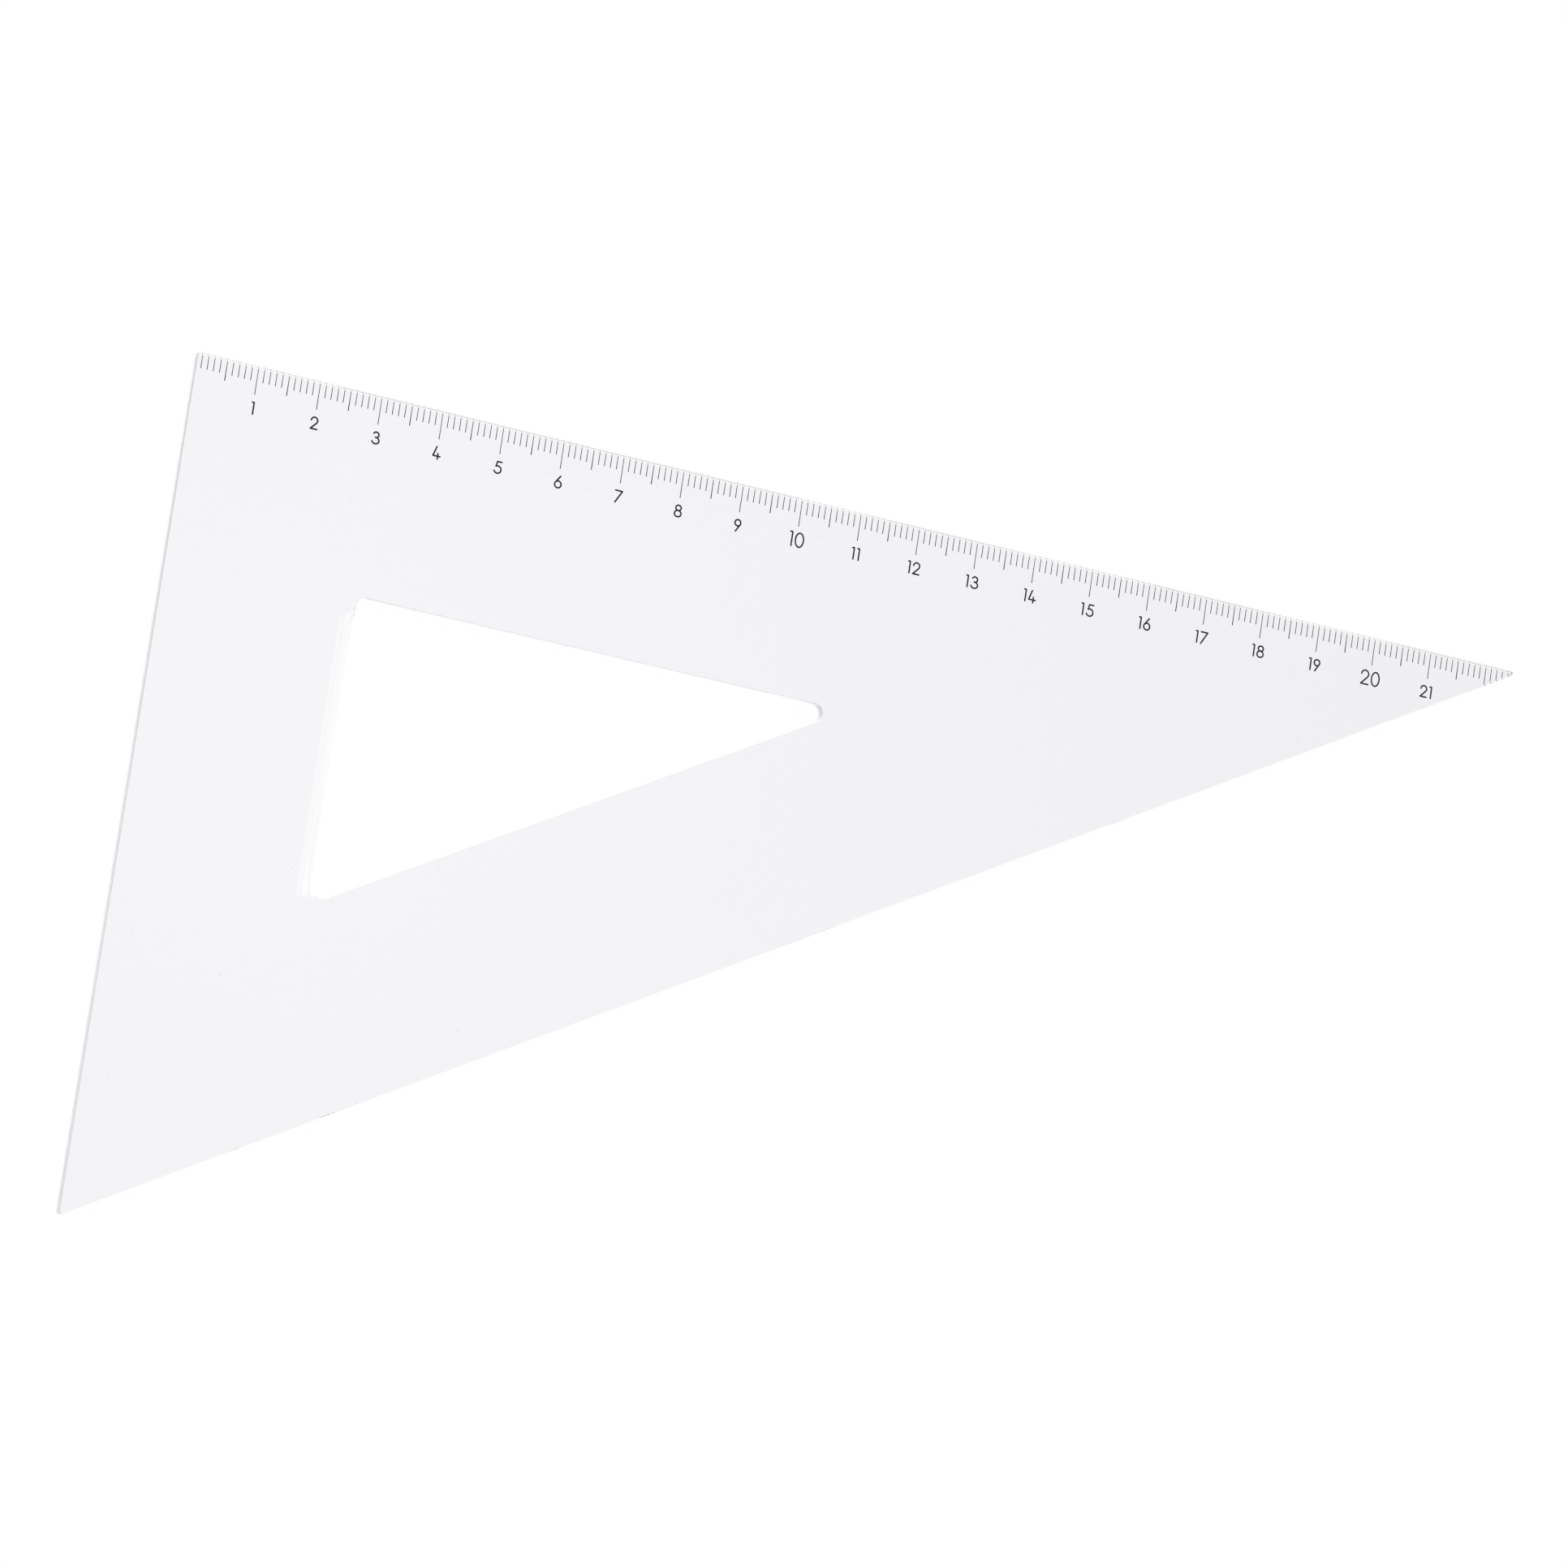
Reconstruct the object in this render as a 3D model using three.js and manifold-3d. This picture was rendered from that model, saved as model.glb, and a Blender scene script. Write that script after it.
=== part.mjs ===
// Drafting triangle: a clear acrylic sheet, 30, 60 and 90 degrees, with a triangular opening to lift and
// hold it by and a millimetre scale along its longer leg.
//
// The sheet lies flat with its underside on Z = 0. It is drawn with its right-angled corner at the origin,
// the scale edge along +X and the short leg along -Y, and is then centred over the origin. Seen from above,
// the scale reads from left to right through the sheet, from grooves pressed into the underside.

import * as THREE from "three";
import { mergeVertices } from "three/addons/utils/BufferGeometryUtils.js";
import Module from "manifold-3d";

const wasm = await Module();
wasm.setup();

// Driving dimensions, in millimetres and radians

const scaleLeg = 225.5; // from the right-angled corner to where the scale edge and the slant would meet
const tipAngle = Math.PI / 6; // between the scale edge and the slant
const thickness = 1.7;

const scaleBand = 30.5; // width of sheet between the scale edge and the opening
const slantBand = 30.2; // the same beside the slant
const shortBand = 30.9; // the same beside the short leg

const outerRadius = 0.4; // the three outer corners
const innerRadius = 1.5; // the three corners of the opening
const arris = 0.05; // chamfer that breaks every sharp edge of both faces

const bevelWidth = 1.72; // lifting bevel on the short side of the opening, across the sheet
const bevelLip = 0.3; // height of edge left under the bevel
const bevelInset = 2.45; // from the round corner nearer the scale to where the cutter was lifted
const bevelRunOut = 1.3; // how far the bevel's other end runs on into its round corner

// The scale

const division = 1; // distance between neighbouring lines
const zeroInset = 0.05; // from the short leg to the scale's zero, where the stamp landed
const lineInset = 0.21; // from the scale edge to where the lines start
const slantInset = 0.2; // least distance from the slant to where a line ends
const lineStartWidth = 0.08; // beside the scale edge
const lineEndWidth = 0.11; // at the inner end, where the stamp presses harder
const boldEndWidth = 0.14; // the same at each fifth line that isn't a tenth
const lineDepth = 0.08;
const shortLine = 2; // each division
const middleLine = 3; // each fifth division
const longLine = 4; // each tenth division
const middleEvery = 5;
const longEvery = 10;

const overrun = 0.5; // how far a cutter reaches past what it cuts
const cornerSteps = 16; // straight steps in each round corner
const sheetColor = 0xe9edf2;

// Sizes that follow from them

const shortLeg = scaleLeg * Math.tan(tipAngle);
const rightAngle = Math.PI / 2;
const steepAngle = rightAngle - tipAngle;
const slantFall = Math.tan(tipAngle); // how far the slant comes towards the scale edge for each unit of X

// Distance from the scale edge to the slant, or to a line beside it, at a place along the scale
function slantDepth(x, inset) {
  return (scaleLeg - x) * slantFall - inset / Math.cos(tipAngle);
}

// Corners of the sheet and of the opening, anticlockwise as seen from above
const sheetCorners = [
  { at: new THREE.Vector2(0, 0), angle: rightAngle },
  { at: new THREE.Vector2(0, -shortLeg), angle: steepAngle },
  { at: new THREE.Vector2(scaleLeg, 0), angle: tipAngle },
];

const openingTip = scaleLeg - (scaleBand + slantBand / Math.cos(tipAngle)) / slantFall;
const openingFoot = slantDepth(shortBand, slantBand);
const openingCorners = [
  { at: new THREE.Vector2(shortBand, -scaleBand), angle: rightAngle },
  { at: new THREE.Vector2(shortBand, -openingFoot), angle: steepAngle },
  { at: new THREE.Vector2(openingTip, -scaleBand), angle: tipAngle },
];

// How far along a straight side a round corner begins
function cornerReach(radius, angle) {
  return radius / Math.tan(angle / 2);
}

// A triangle's outline with each corner rounded by an arc that touches both of its sides
function roundedTriangle(corners, radius, path) {
  corners.forEach((corner, i) => {
    const before = corners[(i + corners.length - 1) % corners.length].at;
    const after = corners[(i + 1) % corners.length].at;
    const back = before.clone().sub(corner.at).normalize();
    const ahead = after.clone().sub(corner.at).normalize();
    const inward = back.clone().add(ahead).normalize();
    const centre = corner.at.clone().addScaledVector(inward, radius / Math.sin(corner.angle / 2));
    const start = corner.at.clone().addScaledVector(back, cornerReach(radius, corner.angle)).sub(centre);
    const turn = Math.PI - corner.angle;
    for (let step = 0; step <= cornerSteps; step += 1) {
      const point = start.clone().rotateAround(new THREE.Vector2(), (turn * step) / cornerSteps).add(centre);
      if (i === 0 && step === 0) path.moveTo(point.x, point.y);
      else path.lineTo(point.x, point.y);
    }
  });
  path.closePath();
  return path;
}

// A solid from a closed geometry, with the vertices that faces share merged
function solidOf(geometry) {
  const bare = geometry.index ? geometry.toNonIndexed() : geometry.clone();
  bare.deleteAttribute("normal");
  bare.deleteAttribute("uv");
  const merged = mergeVertices(bare);
  return new wasm.Manifold(
    new wasm.Mesh({
      numProp: 3,
      vertProperties: new Float32Array(merged.attributes.position.array),
      triVerts: new Uint32Array(merged.index.array),
    }),
  );
}

function geometryOf(solid) {
  const mesh = solid.getMesh();
  const geometry = new THREE.BufferGeometry();
  geometry.setAttribute("position", new THREE.BufferAttribute(mesh.vertProperties, mesh.numProp));
  geometry.setIndex(new THREE.BufferAttribute(mesh.triVerts, 1));
  const faceted = geometry.toNonIndexed();
  faceted.computeVertexNormals();
  return faceted;
}

// The blank: the outline with its opening, as thick as the sheet, with every arris broken
function sheetBlank() {
  const outline = roundedTriangle(sheetCorners, outerRadius, new THREE.Shape());
  outline.holes.push(roundedTriangle(openingCorners, innerRadius, new THREE.Path()));
  const geometry = new THREE.ExtrudeGeometry(outline, {
    depth: thickness - 2 * arris,
    bevelEnabled: true,
    bevelThickness: arris,
    bevelSize: arris,
    bevelOffset: -arris,
    bevelSegments: 1,
    steps: 1,
  });
  geometry.translate(0, 0, arris);
  return solidOf(geometry);
}

// One flank of the pointed cutter: how far it reaches from its axis at three heights, the last of them above
// the sheet. The middle one is where the narrow break of the bevel's upper edge begins.
function cutterFlank() {
  const slope = Math.atan2(thickness - bevelLip, bevelWidth);
  return [
    new THREE.Vector2(0, bevelLip),
    new THREE.Vector2(bevelWidth - arris * Math.cos(slope), thickness - arris * Math.sin(slope)),
    new THREE.Vector2(bevelWidth + arris + overrun / Math.tan(slope / 2), thickness + overrun),
  ];
}

// A ring of the cutter between two of those heights
function cutterRing(lower, upper) {
  const geometry = new THREE.CylinderGeometry(upper.x, lower.x, upper.y - lower.y, 4 * cornerSteps);
  geometry.rotateX(rightAngle);
  geometry.translate(0, 0, (upper.y + lower.y) / 2);
  return solidOf(geometry);
}

// What the cutter takes off the upper face beside the short side of the opening: a square start in the round
// corner beside the slant, a straight run, and the cutter's own round form where it was lifted
function liftingBevel() {
  const top = -scaleBand - cornerReach(innerRadius, rightAngle) - bevelInset;
  const foot = -openingFoot + cornerReach(innerRadius, steepAngle) - bevelRunOut;
  const [point, shoulder, clear] = cutterFlank();
  const run = new THREE.Shape();
  run.moveTo(-clear.x, clear.y);
  run.lineTo(-shoulder.x, shoulder.y);
  run.lineTo(-point.x, point.y);
  run.lineTo(innerRadius + overrun, point.y);
  run.lineTo(innerRadius + overrun, clear.y);
  run.closePath();
  const geometry = new THREE.ExtrudeGeometry(run, { depth: top - foot, bevelEnabled: false });
  geometry.rotateX(rightAngle);
  const lifted = cutterRing(point, shoulder).add(cutterRing(shoulder, clear));
  return solidOf(geometry).add(lifted).translate(shortBand, top, 0);
}

// Length and inner width of a line by its number
function lineForm(count) {
  if (count % longEvery === 0) return { length: longLine, endWidth: lineEndWidth };
  if (count % middleEvery === 0) return { length: middleLine, endWidth: boldEndWidth };
  return { length: shortLine, endWidth: lineEndWidth };
}

// One groove of the scale, open downwards. Near the tip it stops short of the slant.
function scaleGroove(count) {
  const x = zeroInset + count * division;
  const { length: fullLength, endWidth } = lineForm(count);
  const room = slantDepth(x + endWidth / 2, slantInset) - lineInset;
  const length = Math.min(fullLength, room);
  if (length < endWidth) return null;
  const outline = new THREE.Shape();
  outline.moveTo(-lineStartWidth / 2, 0);
  outline.lineTo(-endWidth / 2, -length);
  outline.lineTo(endWidth / 2, -length);
  outline.lineTo(lineStartWidth / 2, 0);
  outline.closePath();
  const geometry = new THREE.ExtrudeGeometry(outline, { depth: lineDepth + overrun, bevelEnabled: false });
  geometry.translate(x, -lineInset, -overrun);
  return solidOf(geometry);
}

function clearSheet() {
  let sheet = sheetBlank().subtract(liftingBevel());
  for (let count = 1; zeroInset + count * division < scaleLeg; count += 1) {
    const groove = scaleGroove(count);
    if (groove) sheet = sheet.subtract(groove);
  }
  return geometryOf(sheet);
}

// The outline's reach, which the round corners draw in a little from the tips of the three angles
const reachX = scaleLeg - cornerReach(outerRadius, tipAngle) + outerRadius;
const reachY = shortLeg - cornerReach(outerRadius, steepAngle) + outerRadius;

const sheetMaterial = new THREE.MeshStandardMaterial({
  color: sheetColor,
  roughness: 0.05,
  metalness: 0,
  transparent: true,
  opacity: 0.35,
});

const sheet = new THREE.Mesh(clearSheet(), sheetMaterial);
sheet.name = "clear_sheet";
sheet.position.set(-reachX / 2, reachY / 2, 0);

const group = new THREE.Group();
group.name = "drafting_triangle";
group.add(sheet);

export default group;
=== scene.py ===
# %% [markdown]
# # A clear drafting triangle
#
# The object is one flat piece of clear acrylic with a millimetre scale along its longer leg. It is nearly
# invisible: what shows is how its edges bend the light, a faint grey where its faces mirror a darker patch
# of the room, and the black lines and numbers of the scale. So this scene is mostly about three things: a
# good clear plastic, surroundings worth mirroring, and ink in the right place, which is underneath.
#
# The sheet itself comes from the imported model, and `part_box` measures its box as loaded.

import math

import bpy
from mathutils import Matrix, Vector


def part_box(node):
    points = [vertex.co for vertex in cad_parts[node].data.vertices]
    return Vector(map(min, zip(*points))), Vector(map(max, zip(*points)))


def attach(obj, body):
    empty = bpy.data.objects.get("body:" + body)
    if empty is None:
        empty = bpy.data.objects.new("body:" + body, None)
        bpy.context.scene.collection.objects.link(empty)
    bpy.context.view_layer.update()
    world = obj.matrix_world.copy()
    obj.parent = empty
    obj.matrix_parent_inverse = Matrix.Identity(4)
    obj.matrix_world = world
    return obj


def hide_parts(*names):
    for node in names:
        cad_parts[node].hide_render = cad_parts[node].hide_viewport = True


MM = 0.001  # the scene is in metres, and the sizes below are easier to read in millimetres

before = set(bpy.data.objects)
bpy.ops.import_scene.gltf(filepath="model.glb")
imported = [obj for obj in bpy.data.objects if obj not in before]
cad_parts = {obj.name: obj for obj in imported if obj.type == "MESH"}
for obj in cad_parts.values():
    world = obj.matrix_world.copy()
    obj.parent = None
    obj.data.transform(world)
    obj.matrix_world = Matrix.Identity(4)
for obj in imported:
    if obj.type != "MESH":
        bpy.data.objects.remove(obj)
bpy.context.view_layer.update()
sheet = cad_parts["clear_sheet"]
low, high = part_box("clear_sheet")
print("sheet:", [round(size / MM, 2) for size in high - low], "mm")

# %% [markdown]
# ## Where things are on the sheet
#
# The right-angled corner is where everything on a drafting triangle is measured from. The scale edge runs
# from it along +X and the short leg along -Y, and the underside is at Z = 0. The scale is read from above,
# through the sheet.

# %% The right-angled corner and the slant
corner = Vector((low.x, high.y, low.z))
scale_leg = 225.5 * MM  # from the right-angled corner to where the scale edge and the slant would meet
tip_angle = math.radians(30)
print("right-angled corner at", [round(value / MM, 2) for value in corner], "mm")

# %% [markdown]
# ## The camera
#
# The photograph was taken with a long lens from well above, so parallel edges stay almost parallel. The
# camera stands beyond the short leg, about 64 degrees above the table, and is rolled until the scale runs
# down to the right. A camera that looks along its own -Z is easiest to place by the point that it aims at,
# the direction back towards it, and a roll about that direction.

# %% Place the camera
aim = Vector((-8.727, 21.083, 1.7)) * MM
distance = 1394.57 * MM
bearing = math.radians(204.953)  # anticlockwise from +X to where the camera stands
elevation = math.radians(64.44)
roll = math.radians(75.669)

towards_camera = Vector(
    (
        math.cos(elevation) * math.cos(bearing),
        math.cos(elevation) * math.sin(bearing),
        math.sin(elevation),
    )
)
level_view = towards_camera.to_track_quat("Z", "Y").to_matrix().to_4x4()

camera_data = bpy.data.cameras.new("long_lens")
camera_data.lens = 211.51
camera_data.sensor_width = 36
camera_data.clip_start = 0.05
camera_data.clip_end = 50
camera = bpy.data.objects.new("long_lens", camera_data)
stand = Matrix.Translation(aim + towards_camera * distance)
camera.matrix_world = stand @ level_view @ Matrix.Rotation(roll, 4, "Z")
bpy.context.scene.collection.objects.link(camera)
bpy.context.scene.camera = camera
print("camera at", [round(value, 3) for value in camera.matrix_world.translation], "m")

# %% [markdown]
# ## Node trees
#
# Materials, the white room and the pieces that follow a rule are all trees of nodes. Written out in full, a
# tree is long and hard to read, so small helpers keep it short: `add` makes a node and feeds its inputs,
# `calc` is one step of arithmetic, and `measure` compares two vectors.

# %% Helpers for building node trees
def feed(tree, socket, value):
    """Joins another node's output to a socket, or sets the socket to a plain value."""
    if isinstance(value, bpy.types.NodeSocket):
        tree.links.new(value, socket)
    else:
        socket.default_value = value


def add(tree, kind, inputs=None, **settings):
    """Adds a node, with its settings, and feeds its inputs by name or number."""
    node = tree.nodes.new(kind)
    for name, value in settings.items():
        setattr(node, name, value)
    for key, value in (inputs or {}).items():
        feed(tree, node.inputs[key], value)
    return node


def calc(tree, operation, *values):
    """One step of arithmetic on fields or on shader values."""
    return add(tree, "ShaderNodeMath", dict(enumerate(values)), operation=operation).outputs[0]


def measure(tree, operation, first, second):
    """One number from two vectors, such as their distance or their dot product."""
    return add(tree, "ShaderNodeVectorMath", {0: first, 1: second}, operation=operation).outputs["Value"]


def blank_material(name):
    """A material with an empty tree. Gives both."""
    material = bpy.data.materials.new(name)
    material.use_nodes = True
    material.node_tree.nodes.clear()
    return material, material.node_tree


# %% [markdown]
# ## The table
#
# Clear plastic has almost no look of its own: it shows what is under it, and it mirrors what is over it.
# The table is white card. Its shader mixes a matt white, which takes the sheet's faint shadow, with a plain
# glow that only the camera, mirror images and rays through the plastic see. So the card stays white in
# the picture while no extra light falls on the sheet. Seen through the plastic, the glow is painted shade:
# it is a little less bright the further the card lies from where it is lit best, which is beside the short
# leg.

# %% Lay the white card
def seen_directly(tree):
    """1 for what the camera sees, straight, mirrored or through plastic, and 0 for light on a surface."""
    rays = add(tree, "ShaderNodeLightPath").outputs
    mirrored = calc(tree, "MAXIMUM", rays["Is Glossy Ray"], rays["Is Transmission Ray"])
    return calc(tree, "MAXIMUM", rays["Is Camera Ray"], mirrored)


CARD_GLOW = 0.97  # share of the card's white that isn't touched by the shadow
FAR_GLOW = 0.945  # what is left of the glow at the far tip, seen through the plastic
FAR_REACH = 190 * MM
lightest = corner + Vector((18, -55, 0)) * MM  # the place where the card is lit best

card_white, tree = blank_material("white_card")
matt = add(tree, "ShaderNodeBsdfDiffuse", {"Color": (0.96, 0.96, 0.96, 1)})
spot = add(tree, "ShaderNodeTexCoord").outputs["Object"]
away = measure(tree, "DISTANCE", spot, lightest)
# painted shade: seen through the plastic, the glow fades with distance from the best-lit place
painted_card_shade = add(
    tree,
    "ShaderNodeMapRange",
    {"Value": away, "From Min": 0.0, "From Max": FAR_REACH, "To Min": 1.0, "To Max": FAR_GLOW},
).outputs[0]
straight = add(tree, "ShaderNodeLightPath").outputs["Is Camera Ray"]
strength = calc(tree, "MAXIMUM", painted_card_shade, straight)
glow = add(tree, "ShaderNodeEmission", {"Color": (1, 1, 1, 1), "Strength": strength})
share = calc(tree, "MULTIPLY", seen_directly(tree), CARD_GLOW)
card_mix = add(tree, "ShaderNodeMixShader", {0: share, 1: matt.outputs[0], 2: glow.outputs[0]})
add(tree, "ShaderNodeOutputMaterial", {"Surface": card_mix.outputs[0]})

CARD_REACH = 4.0
CARD_GAP = 0.05 * MM  # a film of air, so that the sheet's underside and the card aren't in one plane
level = low.z - CARD_GAP
mesh = bpy.data.meshes.new("card")
mesh.from_pydata(
    [(x * CARD_REACH, y * CARD_REACH, level) for x, y in ((-1, -1), (1, -1), (1, 1), (-1, 1))],
    [],
    [(0, 1, 2, 3)],
)
mesh.materials.append(card_white)
card = bpy.data.objects.new("card", mesh)
bpy.context.scene.collection.objects.link(card)
print("card at", round(level / MM, 3), "mm")

# %% [markdown]
# ## Light
#
# A white room gives soft light from all sides. What matters more is what the sheet mirrors, since it lies
# there like a pane of glass. A dark bluish patch hangs exactly where this camera sees the room mirrored,
# and gives the faces their faint cool grey. Round the patch the ceiling is white, which draws light lines
# along the edges, and further off it gets slowly darker.
#
# Low on the walls runs a grey band, between a bright horizon and the white above. This camera hardly sees
# it. It is for views from the side, in which the sheet would otherwise vanish on the white card.
#
# Real walls and a ceiling would do the same, but only the direction matters so far off. So the room is the
# world's shader, two colour ramps by direction, and the camera itself sees plain white.

# %% Helpers for colours
def ramp(tree, value, stops):
    """A colour ramp with smooth steps between stops that are given as a place and a colour."""
    node = add(tree, "ShaderNodeValToRGB", {0: value})
    node.color_ramp.interpolation = "EASE"
    elements = node.color_ramp.elements
    while len(elements) < len(stops):
        elements.new(0.5)
    for element, (place, (red, green, blue)) in zip(elements, stops):
        element.position = place
        element.color = (red, green, blue, 1)
    return node.outputs["Color"]


def grey(level):
    """A grey of that level as a colour."""
    return (level, level, level)


# %% Surround the table
world = bpy.data.worlds.new("white_room")
bpy.context.scene.world = world
world.use_nodes = True
tree = world.node_tree
tree.nodes.clear()

direction = add(tree, "ShaderNodeTexCoord").outputs["Generated"]
mirrored = Vector((-towards_camera.x, -towards_camera.y, towards_camera.z))
nearness = measure(tree, "DOT_PRODUCT", direction, mirrored)

# the ceiling by the cosine of the angle from the mirrored camera, from far off to the patch
PATCH = (0.14, 0.15, 0.27)
ceiling = ramp(tree, nearness, ((0.3, grey(0.75)), (0.65, grey(0.90)), (0.95, grey(1.0)), (0.983, PATCH)))

# the walls by the sine of the height above the table
BRIGHT = grey(1.2)
BAND = grey(0.45)
height = add(tree, "ShaderNodeSeparateXYZ", {0: direction}).outputs["Z"]
wall_light = ramp(tree, height, ((0.08, BRIGHT), (0.14, BAND), (0.52, BAND), (0.68, BRIGHT)))
background = add(tree, "ShaderNodeBackground", {"Color": ceiling, "Strength": wall_light})
white = add(tree, "ShaderNodeBackground", {"Color": (1, 1, 1, 1), "Strength": 1})
straight = add(tree, "ShaderNodeLightPath").outputs["Is Camera Ray"]
sky = add(tree, "ShaderNodeMixShader", {0: straight, 1: background.outputs[0], 2: white.outputs[0]})
add(tree, "ShaderNodeOutputWorld", {"Surface": sky.outputs[0]})

BOUNCES = 128  # light runs a long way inside clear plastic
scene = bpy.context.scene
scene.view_settings.view_transform = "Standard"
for kind in ("max_bounces", "glossy_bounces", "transmission_bounces"):
    setattr(scene.cycles, kind, BOUNCES)
print("surroundings:", world.name, "bounces:", scene.cycles.max_bounces)

# %% [markdown]
# ## Lamps
#
# Two soft lamps light the walls and the card from opposite sides. They hide from mirror images and from
# rays through the plastic, because a lamp that shone back from the sheet would wipe out the scale.

# %% Add a soft lamp at each side
def soft_lamp(name, place, watts, size):
    """A square area lamp that looks at the middle of the sheet and shows in no mirror image."""
    data = bpy.data.lights.new(name, "AREA")
    data.energy = watts
    data.size = size
    lamp = bpy.data.objects.new(name, data)
    place = Vector(place)
    lamp.location = place
    lamp.rotation_euler = (-place).to_track_quat("-Z", "Y").to_euler()
    lamp.visible_glossy = False
    lamp.visible_transmission = False
    bpy.context.scene.collection.objects.link(lamp)
    return lamp


key_lamp = soft_lamp("key_lamp", (0.9, -1.4, 1.0), 16, 0.9)
fill_lamp = soft_lamp("fill_lamp", (-0.5, 1.6, 0.9), 24, 0.9)
print("lamps:", key_lamp.name, fill_lamp.name)

# %% [markdown]
# ## The clear plastic
#
# Acrylic bends light with an index of 1.49. Its two big faces come off polished plates, so they are as
# smooth as glass, with only a trace of waviness, and a slight tint stands for what the plastic takes out of
# the light. A see-through shader that bends nothing would be quicker, but the edges, which are what shows
# most, get their look from bent light alone. So the sheet is a solid with a shader that lets light through.
#
# Here and there a speck of dust lies on the upper face. Each cell of a Voronoi texture has one point, and a
# few of the cells have a speck on it.

# %% Make the clear acrylic
ACRYLIC_INDEX = 1.49
CLEAR_TINT = (0.992, 0.992, 1.0)
DUST = (0.45, 0.43, 0.42)
SPECK_CELLS = 130  # to the metre, so that there is a place for a speck about every 8 mm
SPECK_RADIUS = 0.07 * MM
NO_SPECK = 0.8  # share of the cells that have none
UPPER_FACE = low.z + 1.5 * MM  # what lies above this height is the upper face

acrylic, tree = blank_material("polished_acrylic")
place = add(tree, "ShaderNodeTexCoord").outputs["Object"]
waves = add(tree, "ShaderNodeTexNoise", {"Vector": place, "Scale": 45, "Detail": 1})
ripple = add(tree, "ShaderNodeBump", {"Height": waves.outputs[0], "Strength": 0.02, "Distance": 0.02 * MM})
cells = add(
    tree,
    "ShaderNodeTexVoronoi",
    {"Vector": place, "Scale": SPECK_CELLS},
    voronoi_dimensions="2D",
).outputs
within_reach = calc(tree, "LESS_THAN", cells["Distance"], SPECK_CELLS * SPECK_RADIUS)
luck = add(tree, "ShaderNodeSeparateXYZ", {0: cells["Color"]}).outputs["X"]
dusty = calc(tree, "MULTIPLY", within_reach, calc(tree, "GREATER_THAN", luck, NO_SPECK))
rise = add(tree, "ShaderNodeSeparateXYZ", {0: place}).outputs["Z"]
speck = calc(tree, "MULTIPLY", dusty, calc(tree, "GREATER_THAN", rise, UPPER_FACE))
tint = ramp(tree, speck, ((0.0, CLEAR_TINT), (1.0, DUST)))
plastic = add(
    tree,
    "ShaderNodeBsdfPrincipled",
    {
        "Base Color": tint,
        "Roughness": 0.0,
        "IOR": ACRYLIC_INDEX,
        "Transmission Weight": 1.0,
        "Normal": ripple.outputs[0],
    },
)
add(tree, "ShaderNodeOutputMaterial", {"Surface": plastic.outputs[0]})
print("faces:", acrylic.name)

# %% [markdown]
# ## The walls
#
# The narrow walls are different. They are sawn and only dressed, which leaves them satin: light that runs
# along inside the sheet leaks out there in all directions, so a wall shows as a soft grey band and never
# as a black one. That is partly a matt surface and partly a very rough pane, with faint marks of the saw,
# which stand upright and follow each other along the wall. Light and shade are also painted into the walls'
# colour: it is painted lighter at a wall's foot, beside the card, lighter in the opening by the way each
# wall faces, and lighter and bluer towards the far end of the short leg.
#
# Seen from within, through a face, the same wall is a mirror: the light strikes it so flat that none gets
# out, and at the scale edge the ends of the lines show twice. So the shader asks which side of the surface
# the light is on.

# %% Make the satin wall
satin, tree = blank_material("satin_wall")
place = add(tree, "ShaderNodeTexCoord").outputs["Object"]
upright = add(tree, "ShaderNodeMapping", {"Vector": place, "Scale": (1, 1, 0.05)})
saw_marks = add(tree, "ShaderNodeTexNoise", {"Vector": upright.outputs[0], "Scale": 1800, "Detail": 2})
shade = add(tree, "ShaderNodeValToRGB", {0: saw_marks.outputs[0]})
shade.color_ramp.elements[0].color = (0.685, 0.69, 0.706, 1)
shade.color_ramp.elements[1].color = (0.73, 0.735, 0.752, 1)
axes = add(tree, "ShaderNodeSeparateXYZ", {0: place}).outputs

# the opening's walls face the middle of the sheet
middle = corner + Vector((scale_leg / 3, -scale_leg * math.tan(tip_angle) / 3, 0))
outwards = add(tree, "ShaderNodeVectorMath", {0: place, 1: middle}, operation="SUBTRACT").outputs["Vector"]
facing = add(tree, "ShaderNodeNewGeometry").outputs["True Normal"]
of_opening = calc(tree, "LESS_THAN", measure(tree, "DOT_PRODUCT", outwards, facing), 0.0)

# painted light: the opening's walls lighter by facing, -Y beside the scale, +Y beside the slant, -X at the
# tip
PAINTED_LIGHT_BY_SCALE = 0.18
PAINTED_LIGHT_BY_SLANT = 0.35
PAINTED_LIGHT_AT_TIP = 0.2
turned = add(tree, "ShaderNodeSeparateXYZ", {0: facing}).outputs
scale_side = calc(tree, "MULTIPLY", calc(tree, "MINIMUM", turned["Y"], 0.0), -PAINTED_LIGHT_BY_SCALE)
slant_side = calc(tree, "MULTIPLY_ADD", calc(tree, "MAXIMUM", turned["Y"], 0.0), PAINTED_LIGHT_BY_SLANT, scale_side)
painted_facing_light = calc(tree, "MULTIPLY_ADD", calc(tree, "MINIMUM", turned["X"], 0.0), -PAINTED_LIGHT_AT_TIP, slant_side)

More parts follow.
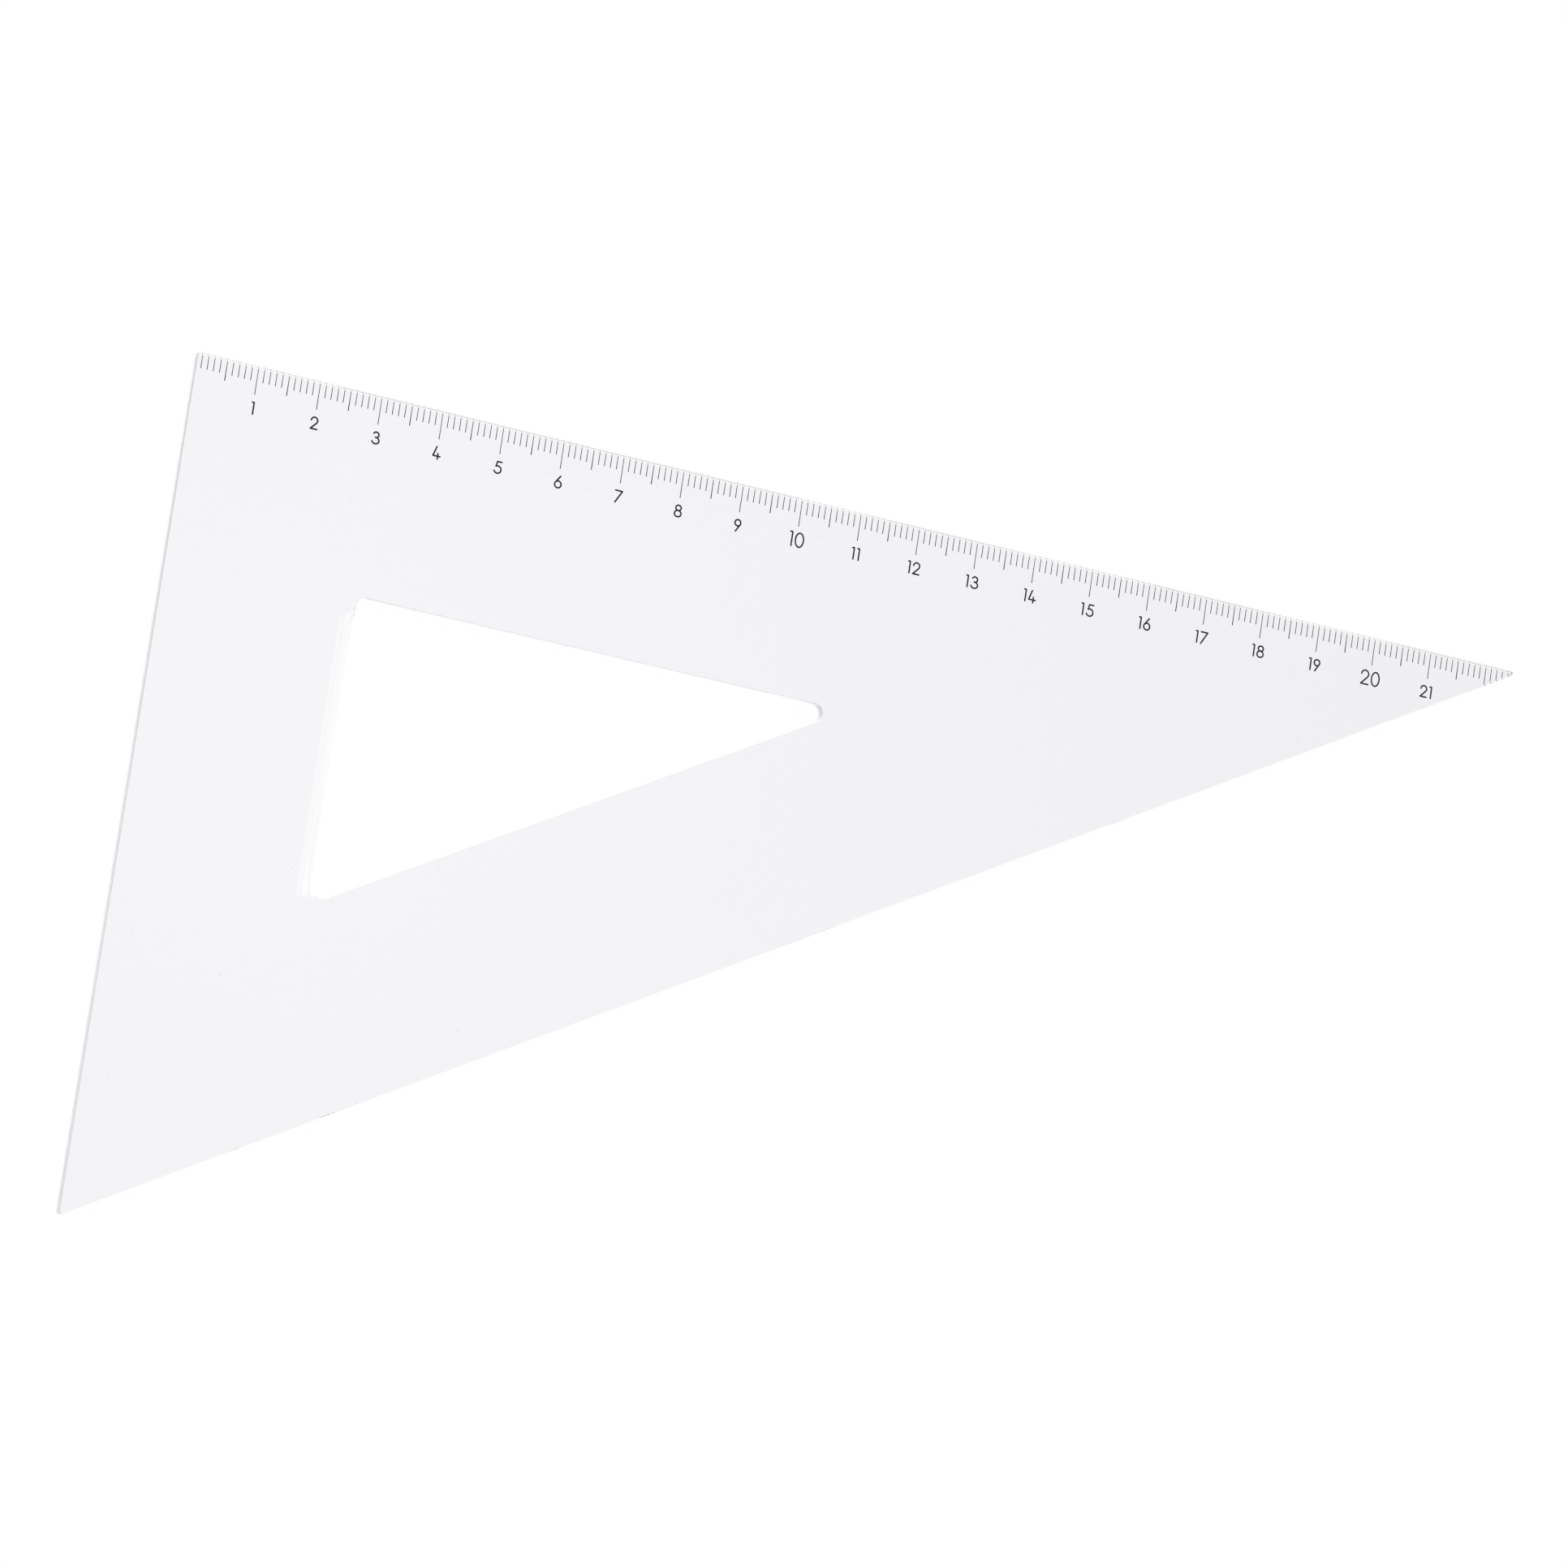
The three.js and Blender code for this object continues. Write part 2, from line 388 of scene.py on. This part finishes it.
# painted light from the card: a wall's foot is painted lighter than its upper half,
# less so in the opening and towards the short leg's far end
FOOT = 1.6
LESS_IN_OPENING = 0.25
LESS_AT_FAR_END = 0.45
FOOT_TOP = 0.35 * MM
FOOT_FADED = 0.85 * MM
STEADY = 15 * MM  # at each end of the short leg, where nothing changes along it
along_leg = add(
    tree,
    "ShaderNodeMapRange",
    {"Value": axes["Y"], "From Min": corner.y - STEADY, "From Max": low.y + STEADY},
).outputs[0]
outer_foot_light = calc(tree, "MULTIPLY_ADD", along_leg, -LESS_AT_FAR_END, FOOT)
painted_foot_light = calc(tree, "MULTIPLY_ADD", of_opening, -LESS_IN_OPENING, outer_foot_light)
foot = add(
    tree,
    "ShaderNodeMapRange",
    {
        "Value": axes["Z"],
        "From Min": low.z + FOOT_TOP,
        "From Max": low.z + FOOT_FADED,
        "To Min": painted_foot_light,
        "To Max": 1.0,
    },
).outputs[0]

# painted light: towards the short leg's far end the walls are painted lighter and bluer over their whole
# height
FAR_PAINTED_LIGHT = (1.10, 1.14, 1.15)
painted_cool_light = ramp(tree, along_leg, ((0.0, grey(1.0)), (1.0, FAR_PAINTED_LIGHT)))
saw_marks_and_painted_light = add(tree, "ShaderNodeVectorMath", {0: shade.outputs["Color"], 1: painted_cool_light}, operation="MULTIPLY")
# painted light: the lighter foot and the lighter facing of the opening's walls, as one factor
painted_light = calc(tree, "MULTIPLY", foot, calc(tree, "MULTIPLY_ADD", of_opening, painted_facing_light, 1.0))
wall_color = add(
    tree,
    "ShaderNodeVectorMath",
    {0: saw_marks_and_painted_light.outputs["Vector"], "Scale": painted_light},
    operation="SCALE",
)

# the two sides of the surface
outside = add(
    tree,
    "ShaderNodeBsdfPrincipled",
    {
        "Base Color": wall_color.outputs["Vector"],
        "Roughness": 0.8,
        "IOR": ACRYLIC_INDEX,
        "Transmission Weight": 0.35,
    },
)
within = add(
    tree,
    "ShaderNodeBsdfPrincipled",
    {
        "Base Color": (*CLEAR_TINT, 1),
        "Roughness": 0.05,
        "IOR": ACRYLIC_INDEX,
        "Transmission Weight": 1.0,
    },
)
from_within = add(tree, "ShaderNodeNewGeometry").outputs["Backfacing"]
wall = add(tree, "ShaderNodeMixShader", {0: from_within, 1: outside.outputs[0], 2: within.outputs[0]})
add(tree, "ShaderNodeOutputMaterial", {"Surface": wall.outputs[0]})
print("walls:", satin.name)

# %% [markdown]
# ## One sheet, two finishes
#
# Which finish a face has follows a rule: it is a wall if it stands upright. So a small Geometry Nodes tree
# dresses the sheet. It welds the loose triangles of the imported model, softens the shading where the flat
# steps of a round corner meet at a slight angle, and gives each face its material by the way it faces. The
# lifting bevel on the opening's short side slopes at about 39 degrees, and counts as a polished face. Only
# the narrow break along its upper edge, at half that slope, is satin like a wall.

# %% Helpers for Geometry Nodes
def new_tree(name, inputs):
    """An empty tree with named inputs. Gives the tree, the sockets of its inputs by name, and its output."""
    tree = bpy.data.node_groups.new(name, "GeometryNodeTree")
    tree.interface.new_socket("Mesh", in_out="OUTPUT", socket_type="NodeSocketGeometry")
    for label, kind in inputs.items():
        tree.interface.new_socket(label, in_out="INPUT", socket_type="NodeSocket" + kind)
    sockets = {socket.name: socket for socket in tree.nodes.new("NodeGroupInput").outputs}
    return tree, sockets, tree.nodes.new("NodeGroupOutput").inputs[0]


def grow(name, tree, source, values):
    """Runs a tree on an object's data and gives the result as a plain mesh object at the origin."""
    seed = bpy.data.objects.new(name + "_seed", source)
    bpy.context.scene.collection.objects.link(seed)
    modifier = seed.modifiers.new("tree", "NODES")
    modifier.node_group = tree
    for item in tree.interface.items_tree:
        if item.in_out == "INPUT" and item.name in values:
            modifier[item.identifier] = values[item.name]
    evaluated = seed.evaluated_get(bpy.context.evaluated_depsgraph_get())
    mesh = bpy.data.meshes.new_from_object(evaluated)
    mesh.name = name
    bpy.data.objects.remove(seed)
    piece = bpy.data.objects.new(name, mesh)
    bpy.context.scene.collection.objects.link(piece)
    print(name + ":", len(mesh.polygons), "faces")
    return piece


# %% The tree that dresses the sheet
tree, given, result = new_tree(
    "dressed_sheet",
    {
        "Geometry": "Geometry",
        "Weld": "Float",
        "Soft Angle": "Float",
        "Wall Limit": "Float",
        "Break Low": "Float",
        "Break High": "Float",
        "Faces": "Material",
        "Walls": "Material",
    },
)
welded = add(tree, "GeometryNodeMergeByDistance", {"Geometry": given["Geometry"], "Distance": given["Weld"]})
rounded = add(
    tree,
    "GeometryNodeSetShadeSmooth",
    {"Geometry": welded.outputs[0], "Shade Smooth": True},
    domain="FACE",
)
turn = add(tree, "GeometryNodeInputMeshEdgeAngle").outputs["Unsigned Angle"]
creases = calc(tree, "GREATER_THAN", turn, given["Soft Angle"])
creased = add(
    tree,
    "GeometryNodeSetShadeSmooth",
    {"Geometry": rounded.outputs[0], "Selection": creases, "Shade Smooth": False},
    domain="EDGE",
)
facing = add(tree, "ShaderNodeSeparateXYZ", {0: add(tree, "GeometryNodeInputNormal").outputs[0]})
lean = calc(tree, "ABSOLUTE", facing.outputs["Z"])
stands = calc(tree, "LESS_THAN", lean, given["Wall Limit"])
over_low = calc(tree, "GREATER_THAN", lean, given["Break Low"])
under_high = calc(tree, "LESS_THAN", lean, given["Break High"])
matt_faces = calc(tree, "MAXIMUM", stands, calc(tree, "MULTIPLY", over_low, under_high))
clear = add(tree, "GeometryNodeSetMaterial", {"Geometry": creased.outputs[0], "Material": given["Faces"]})
dressed_walls = add(
    tree,
    "GeometryNodeSetMaterial",
    {"Geometry": clear.outputs[0], "Selection": matt_faces, "Material": given["Walls"]},
)
tree.links.new(dressed_walls.outputs[0], result)

# %% Dress the sheet
copy = sheet.data.copy()
copy.materials.clear()
dressed_sheet = grow(
    "dressed_sheet",
    tree,
    copy,
    {
        "Weld": 0.0005 * MM,
        "Soft Angle": math.radians(12),
        "Wall Limit": 0.3,
        "Break Low": 0.9,
        "Break High": 0.98,
        "Faces": acrylic,
        "Walls": satin,
    },
)
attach(dressed_sheet, "root")
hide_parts("clear_sheet")
finishes = dressed_sheet.data.materials
walls = sum(1 for face in dressed_sheet.data.polygons if finishes[face.material_index] == satin)
print("finishes:", [material.name for material in finishes], "wall faces:", walls)

# %% [markdown]
# ## Ink
#
# The ink is a matt black lacquer. It isn't quite even: where the stamp pressed less it is a little thinner.
# One flat black would look like a hole in the picture, so fine noise moves it between two near blacks.

# %% Make the ink
ink, tree = blank_material("black_ink")
place = add(tree, "ShaderNodeTexCoord").outputs["Object"]
grain = add(tree, "ShaderNodeTexNoise", {"Vector": place, "Scale": 2500, "Detail": 3})
shade = add(tree, "ShaderNodeValToRGB", {0: grain.outputs[0]})
shade.color_ramp.elements[0].color = (0.006, 0.006, 0.007, 1)
shade.color_ramp.elements[1].color = (0.022, 0.021, 0.021, 1)
lacquer = add(
    tree,
    "ShaderNodeBsdfPrincipled",
    {"Base Color": shade.outputs["Color"], "Roughness": 0.55, "IOR": 1.5},
)
add(tree, "ShaderNodeOutputMaterial", {"Surface": lacquer.outputs[0]})
print("ink:", ink.name)

# %% [markdown]
# ## The lines of the scale
#
# 224 lines follow one rule, so a Geometry Nodes tree makes them. A row of points stands on the scale edge,
# one a millimetre. Each point gets a line whose length depends on its number: every tenth is the longest,
# every fifth is between, and where the slant comes close the line stops short of it, until the last point
# has no room for one. A line is a little broader at its inner end. The ink fills the groove that the model
# has there, and is two thousandths of a millimetre larger on each side, because it sticks to the plastic
# with no air between them.

# %% The tree of the scale lines
tree, given, result = new_tree(
    "scale_lines",
    {
        "Lines": "Int",
        "Division": "Float",
        "Inset": "Float",
        "Start Width": "Float",
        "End Width": "Float",
        "Bold Width": "Float",
        "Short": "Float",
        "Middle": "Float",
        "Long": "Float",
        "Middle Every": "Float",
        "Long Every": "Float",
        "Depth": "Float",
        "Bond": "Float",
        "Scale Leg": "Float",
        "Slant Fall": "Float",
        "Slant Inset": "Float",
        "Zero": "Vector",
        "Ink": "Material",
    },
)

# the number of each line, and where it stands
number = calc(tree, "ADD", add(tree, "GeometryNodeInputIndex").outputs[0], 1.0)
step = add(tree, "ShaderNodeCombineXYZ", {"X": given["Division"]}).outputs[0]
row = add(tree, "GeometryNodeMeshLine", {"Count": given["Lines"], "Start Location": step, "Offset": step})

# its length by rule
fifth = calc(tree, "LESS_THAN", calc(tree, "MODULO", number, given["Middle Every"]), 0.5)
tenth = calc(tree, "LESS_THAN", calc(tree, "MODULO", number, given["Long Every"]), 0.5)
more_at_fifth = calc(tree, "SUBTRACT", given["Middle"], given["Short"])
more_at_tenth = calc(tree, "SUBTRACT", given["Long"], given["Middle"])
length = calc(tree, "MULTIPLY_ADD", fifth, more_at_fifth, given["Short"])
length = calc(tree, "MULTIPLY_ADD", tenth, more_at_tenth, length)

# the room that the slant leaves it
half_width = calc(tree, "MULTIPLY", given["End Width"], 0.5)
far_side = calc(tree, "MULTIPLY_ADD", number, given["Division"], half_width)
slant = calc(tree, "MULTIPLY", calc(tree, "SUBTRACT", given["Scale Leg"], far_side), given["Slant Fall"])
room_left = calc(tree, "SUBTRACT", calc(tree, "SUBTRACT", slant, given["Slant Inset"]), given["Inset"])
length = calc(tree, "MINIMUM", length, room_left)
kept = calc(tree, "GREATER_THAN", length, given["End Width"])

# one line: a bar of length 1 that runs down from its point, broader at its inner end
block = add(tree, "GeometryNodeMeshCube", {"Size": (1, 1, 1)}).outputs["Mesh"]
at = add(tree, "ShaderNodeSeparateXYZ", {0: add(tree, "GeometryNodeInputPosition").outputs[0]}).outputs
inwards = calc(tree, "SUBTRACT", 0.5, at["Y"])


def bar(end_width):
    """A bar that tapers from its inner end's width to the start width."""
    spread = calc(tree, "SUBTRACT", end_width, given["Start Width"])
    width = calc(tree, "MULTIPLY_ADD", inwards, spread, given["Start Width"])
    width = calc(tree, "MULTIPLY_ADD", given["Bond"], 2.0, width)
    spot = add(
        tree,
        "ShaderNodeCombineXYZ",
        {
            "X": calc(tree, "MULTIPLY", at["X"], width),
            "Y": calc(tree, "MULTIPLY", inwards, -1.0),
            "Z": calc(tree, "MULTIPLY_ADD", calc(tree, "ADD", at["Z"], 0.5), given["Depth"], given["Bond"]),
        },
    )
    return add(tree, "GeometryNodeSetPosition", {"Geometry": block, "Position": spot.outputs[0]}).outputs[0]


# a copy on every point, as long as the rule says, from the bold bar at each fifth line that isn't a tenth
bold = calc(tree, "SUBTRACT", fifth, tenth)
plain = calc(tree, "SUBTRACT", 1.0, bold)
full_length = calc(tree, "MULTIPLY_ADD", given["Bond"], 2.0, length)
stretch = add(tree, "ShaderNodeCombineXYZ", {"X": 1.0, "Y": full_length, "Z": 1.0})
sorts = add(tree, "GeometryNodeJoinGeometry")
for end_width, chosen in ((given["End Width"], plain), (given["Bold Width"], bold)):
    copies = add(
        tree,
        "GeometryNodeInstanceOnPoints",
        {
            "Points": row.outputs[0],
            "Selection": calc(tree, "MULTIPLY", kept, chosen),
            "Instance": bar(end_width),
            "Scale": stretch.outputs[0],
        },
    )
    tree.links.new(copies.outputs[0], sorts.inputs[0])
lines = add(tree, "GeometryNodeRealizeInstances", {"Geometry": sorts.outputs[0]})
start = add(tree, "ShaderNodeCombineXYZ", {"Y": calc(tree, "SUBTRACT", given["Bond"], given["Inset"])})
shift = add(tree, "ShaderNodeVectorMath", {0: start.outputs[0], 1: given["Zero"]}, operation="ADD")
placed = add(tree, "GeometryNodeTransform", {"Geometry": lines.outputs[0], "Translation": shift.outputs[0]})
inked = add(tree, "GeometryNodeSetMaterial", {"Geometry": placed.outputs[0], "Material": given["Ink"]})
tree.links.new(inked.outputs[0], result)

# %% Fill the grooves
INK_BOND = 0.002 * MM
DIVISION = 1 * MM
ZERO_INSET = 0.05 * MM  # from the short leg to the scale's zero
ink_lines = grow(
    "ink_lines",
    tree,
    bpy.data.meshes.new("seed"),
    {
        "Lines": math.floor((scale_leg - ZERO_INSET) / DIVISION),
        "Division": DIVISION,
        "Inset": 0.21 * MM,
        "Start Width": 0.08 * MM,
        "End Width": 0.11 * MM,
        "Bold Width": 0.14 * MM,
        "Short": 2 * MM,
        "Middle": 3 * MM,
        "Long": 4 * MM,
        "Middle Every": 5.0,
        "Long Every": 10.0,
        "Depth": 0.08 * MM,
        "Bond": INK_BOND,
        "Scale Leg": scale_leg - ZERO_INSET,
        "Slant Fall": math.tan(tip_angle),
        "Slant Inset": 0.2 * MM / math.cos(tip_angle),
        "Zero": corner + Vector((ZERO_INSET, 0, 0)),
        "Ink": ink,
    },
)
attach(ink_lines, "root")

# %% [markdown]
# ## The numbers
#
# The numbers are engraved with a small round cutter that follows single strokes, as drawing numerals are.
# So each digit is a few centre lines: straight strokes, arcs, and arcs that a stroke leaves along their
# tangent. A second tree turns the strokes into flat bars with a round dot at each end, melts them into
# one clean solid for each digit, and leaves them just inside the underside.

# %% Strokes of the ten digits, 1 high, drawn between their outermost centre lines
def arc(centre, reach, first, last, steps=20):
    """Points of an arc, in degrees anticlockwise from +X. Reach is its radius, across and up."""
    return [
        (
            centre[0] + reach[0] * math.cos(math.radians(first + (last - first) * step / steps)),
            centre[1] + reach[1] * math.sin(math.radians(first + (last - first) * step / steps)),
        )
        for step in range(steps + 1)
    ]


def ring(centre, reach):
    """Points of a whole loop, the first one again at the end."""
    return arc(centre, reach, 0, 360, 40)


def bowl(circle, first=0, last=360, steps=40):
    """Points of a circle, given as its centre and its radius, or of an arc of it."""
    centre, radius = circle
    return arc(centre, (radius, radius), first, last, steps)


def touch_angle(circle, point):
    """Where on a circle a stroke from a point joins it without a kink, anticlockwise from the point."""
    centre, radius = circle
    away = math.atan2(point[1] - centre[1], point[0] - centre[0])
    return math.degrees(away + math.acos(radius / math.dist(centre, point)))


TWO_BOWL = ((0.30, 0.715), 0.285)
TWO_FOOT = (0.03, 0)
TWO_LEAVES = touch_angle(TWO_BOWL, TWO_FOOT)
SIX_BOWL = ((0.295, 0.295), 0.295)
SIX_TOP = (0.45, 1.02)
SIX_LEAVES = touch_angle(SIX_BOWL, SIX_TOP)
NINE_BOWL = ((0.27, 0.73), 0.27)
NINE_FOOT = (0.14, -0.02)
NINE_LEAVES = touch_angle(NINE_BOWL, NINE_FOOT)

# the width of each digit and its strokes
DIGITS = {
    "0": (0.62, [ring((0.31, 0.5), (0.31, 0.5))]),
    "1": (0.16, [[(0, 1), (0.16, 1)], [(0.16, 1), (0.16, 0)]]),
    "2": (0.63, [bowl(TWO_BOWL, 180, TWO_LEAVES, 20) + [TWO_FOOT], [TWO_FOOT, (0.62, 0)]]),
    "3": (
        0.64,
        [
            [(0.27, 0.545), (0.33, 0.545)],
            arc((0.32, 0.772), (0.25, 0.228), 155, -75),
            arc((0.32, 0.272), (0.32, 0.272), 80, -164),
        ],
    ),
    "4": (0.64, [[(0.25, 1.02), (0, 0.21)], [(0, 0.21), (0.64, 0.21)], [(0.43, 0.45), (0.43, -0.03)]]),
    "5": (
        0.65,
        [
            [(0.64, 1), (0.24, 1)],
            [(0.24, 1), (0.15, 0.585)],
            arc((0.33, 0.315), (0.32, 0.315), 123, -158),
        ],
    ),
    "6": (0.59, [bowl(SIX_BOWL), bowl(SIX_BOWL, 180, SIX_LEAVES, 6) + [SIX_TOP]]),
    "7": (0.63, [[(0, 1), (0.63, 1)], [(0.63, 1), (0.07, -0.02)]]),
    "8": (0.61, [ring((0.305, 0.775), (0.25, 0.225)), ring((0.305, 0.275), (0.305, 0.275))]),
    "9": (0.54, [bowl(NINE_BOWL), bowl(NINE_BOWL, 0, NINE_LEAVES, 6) + [NINE_FOOT]]),
}
print("digits:", " ".join(DIGITS), "leave angles:", round(TWO_LEAVES), round(SIX_LEAVES), round(NINE_LEAVES))

# %% Write the row of numbers as curves
STROKE = 0.25 * MM
DIGIT_HEIGHT = 1.78 * MM  # between centre lines
TALL_DIGIT_HEIGHT = 2.18 * MM  # the tens are written larger
MIDDLE_OF_ROW = 6.27 * MM  # from the scale edge
GAP_AFTER = {"1": 0.35 * MM, "2": 0.22 * MM}  # clear gap to the next digit
NUDGE = 0.06 * MM  # the numbers stand this far right of their lines
CENTIMETRE = 10 * MM
LAST_NUMBER = 21

strokes = bpy.data.curves.new("number_strokes", "CURVE")
strokes.dimensions = "3D"
for value in range(1, LAST_NUMBER + 1):
    text = str(value)
    size = TALL_DIGIT_HEIGHT if value % 10 == 0 else DIGIT_HEIGHT
    gaps = [GAP_AFTER[digit] + STROKE for digit in text[:-1]]
    total = sum(DIGITS[digit][0] * size for digit in text) + sum(gaps)
    pen = corner.x + value * CENTIMETRE + NUDGE - total / 2
    foot = corner.y - MIDDLE_OF_ROW - size / 2
    for digit, gap in zip(text, gaps + [0]):
        wide, parts = DIGITS[digit]
        for part in parts:
            closed = math.dist(part[0], part[-1]) < 1e-6
            points = part[:-1] if closed else part
            spline = strokes.splines.new("POLY")
            spline.points.add(len(points) - 1)
            spline.use_cyclic_u = closed
            for point, (x, y) in zip(spline.points, points):
                point.co = (pen + x * size, foot + y * size, 0, 1)
        pen += wide * size + gap
print("strokes:", len(strokes.splines))

# %% The tree of the numbers
tree, given, result = new_tree(
    "number_row",
    {"Geometry": "Geometry", "Stroke": "Float", "Thickness": "Float", "Height": "Float", "Ink": "Material"},
)
level_curve = add(tree, "GeometryNodeSetCurveNormal", {"Curve": given["Geometry"]}, mode="Z_UP")
nib = add(
    tree,
    "GeometryNodeCurvePrimitiveQuadrilateral",
    {"Width": given["Stroke"], "Height": given["Thickness"]},
)
bars = add(
    tree,
    "GeometryNodeCurveToMesh",
    {"Curve": level_curve.outputs[0], "Profile Curve": nib.outputs[0], "Fill Caps": True},
)
dot = add(
    tree,
    "GeometryNodeMeshCylinder",
    {"Vertices": 20, "Radius": calc(tree, "MULTIPLY", given["Stroke"], 0.5), "Depth": given["Thickness"]},
)
ends = add(tree, "GeometryNodeCurveEndpointSelection")
dots = add(
    tree,
    "GeometryNodeInstanceOnPoints",
    {"Points": given["Geometry"], "Selection": ends.outputs[0], "Instance": dot.outputs["Mesh"]},
)
real_dots = add(tree, "GeometryNodeRealizeInstances", {"Geometry": dots.outputs[0]})
loose = add(tree, "GeometryNodeJoinGeometry")
tree.links.new(real_dots.outputs[0], loose.inputs[0])
tree.links.new(bars.outputs[0], loose.inputs[0])
melted = add(
    tree,
    "GeometryNodeMeshBoolean",
    {"Mesh 2": loose.outputs[0], "Self Intersection": True},
    operation="UNION",
    solver="EXACT",
)
lift = add(tree, "ShaderNodeCombineXYZ", {"Z": given["Height"]})
placed = add(tree, "GeometryNodeTransform", {"Geometry": melted.outputs[0], "Translation": lift.outputs[0]})
inked = add(tree, "GeometryNodeSetMaterial", {"Geometry": placed.outputs[0], "Material": given["Ink"]})
tree.links.new(inked.outputs[0], result)

# %% Engrave the numbers
NUMBER_DEPTH = 0.04 * MM
ink_numbers = grow(
    "ink_numbers",
    tree,
    strokes,
    {
        "Stroke": STROKE,
        "Thickness": NUMBER_DEPTH,
        "Height": low.z + INK_BOND + NUMBER_DEPTH / 2,
        "Ink": ink,
    },
)
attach(ink_numbers, "root")
